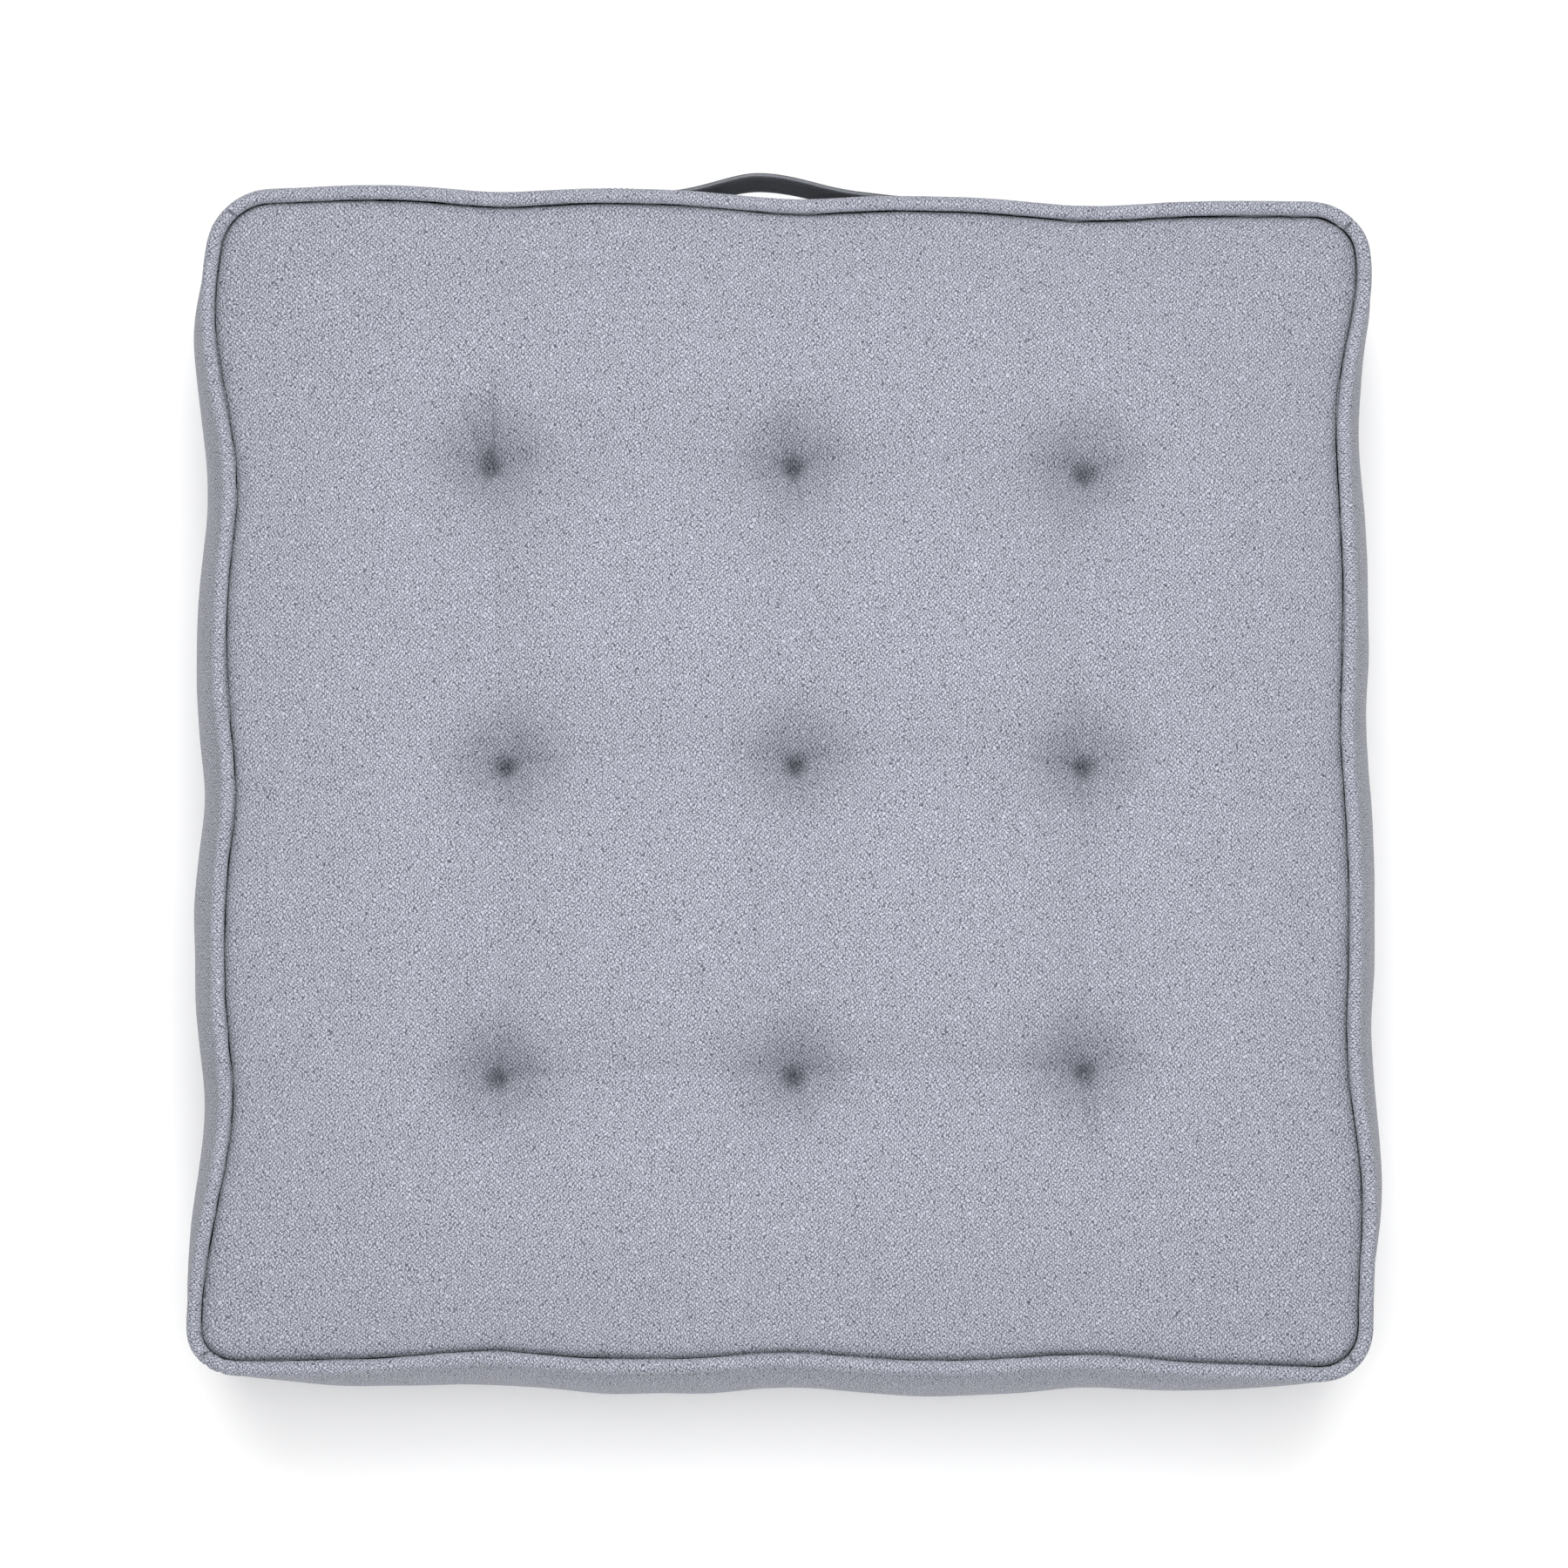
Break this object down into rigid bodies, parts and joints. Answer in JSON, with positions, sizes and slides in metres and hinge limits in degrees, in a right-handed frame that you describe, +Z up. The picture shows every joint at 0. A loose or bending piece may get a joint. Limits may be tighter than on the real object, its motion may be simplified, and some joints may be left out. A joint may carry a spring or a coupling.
{
  "type": "floor cushion",
  "caption": "Square tufted floor cushion with a stuffed woven cover, piped edges, side borders and a strap carrying handle on the back border.",
  "frame": {"origin": "middle of the underside, on the surface the cushion lies on", "axes": "+Z up, +Y to the back border that carries the handle, +X to the right"},
  "size_m": [0.494, 0.5173, 0.11],
  "materials": {
    "cover_fabric": "matte",
    "welt_fabric": "matte",
    "welt_cord": "matte",
    "fibre_filling": "matte",
    "tufting_twine": "matte",
    "strap_webbing": "matte",
    "strap_thread": "matte"
  },
  "bodies": {
    "root": {"top_panel": "cover_fabric", "bottom_panel": "cover_fabric", "border_front": "cover_fabric", "border_right": "cover_fabric", "border_back": "cover_fabric", "border_left": "cover_fabric", "top_welt_cover": "welt_fabric", "bottom_welt_cover": "welt_fabric", "top_welt_cord": "welt_cord", "bottom_welt_cord": "welt_cord", "filling": "fibre_filling", "tuft_twine_back_left": "tufting_twine", "tuft_twine_back_centre": "tufting_twine", "tuft_twine_back_right": "tufting_twine", "tuft_twine_middle_left": "tufting_twine", "tuft_twine_middle_centre": "tufting_twine", "tuft_twine_middle_right": "tufting_twine", "tuft_twine_front_left": "tufting_twine", "tuft_twine_front_centre": "tufting_twine", "tuft_twine_front_right": "tufting_twine", "handle_end_left": "strap_webbing", "handle_end_right": "strap_webbing", "handle_stitches_left": "strap_thread", "handle_stitches_right": "strap_thread"},
    "handle": {"handle_strap": "strap_webbing"}
  },
  "joints": [
    {"name": "handle_swing", "type": "hinge", "parent": "root", "child": "handle", "pos_m": [0, 0.2542, 0.054], "axis": [1, 0, 0], "range_deg": [-25, 25], "stiffness_Nm_per_rad": 0.002}
  ]
}
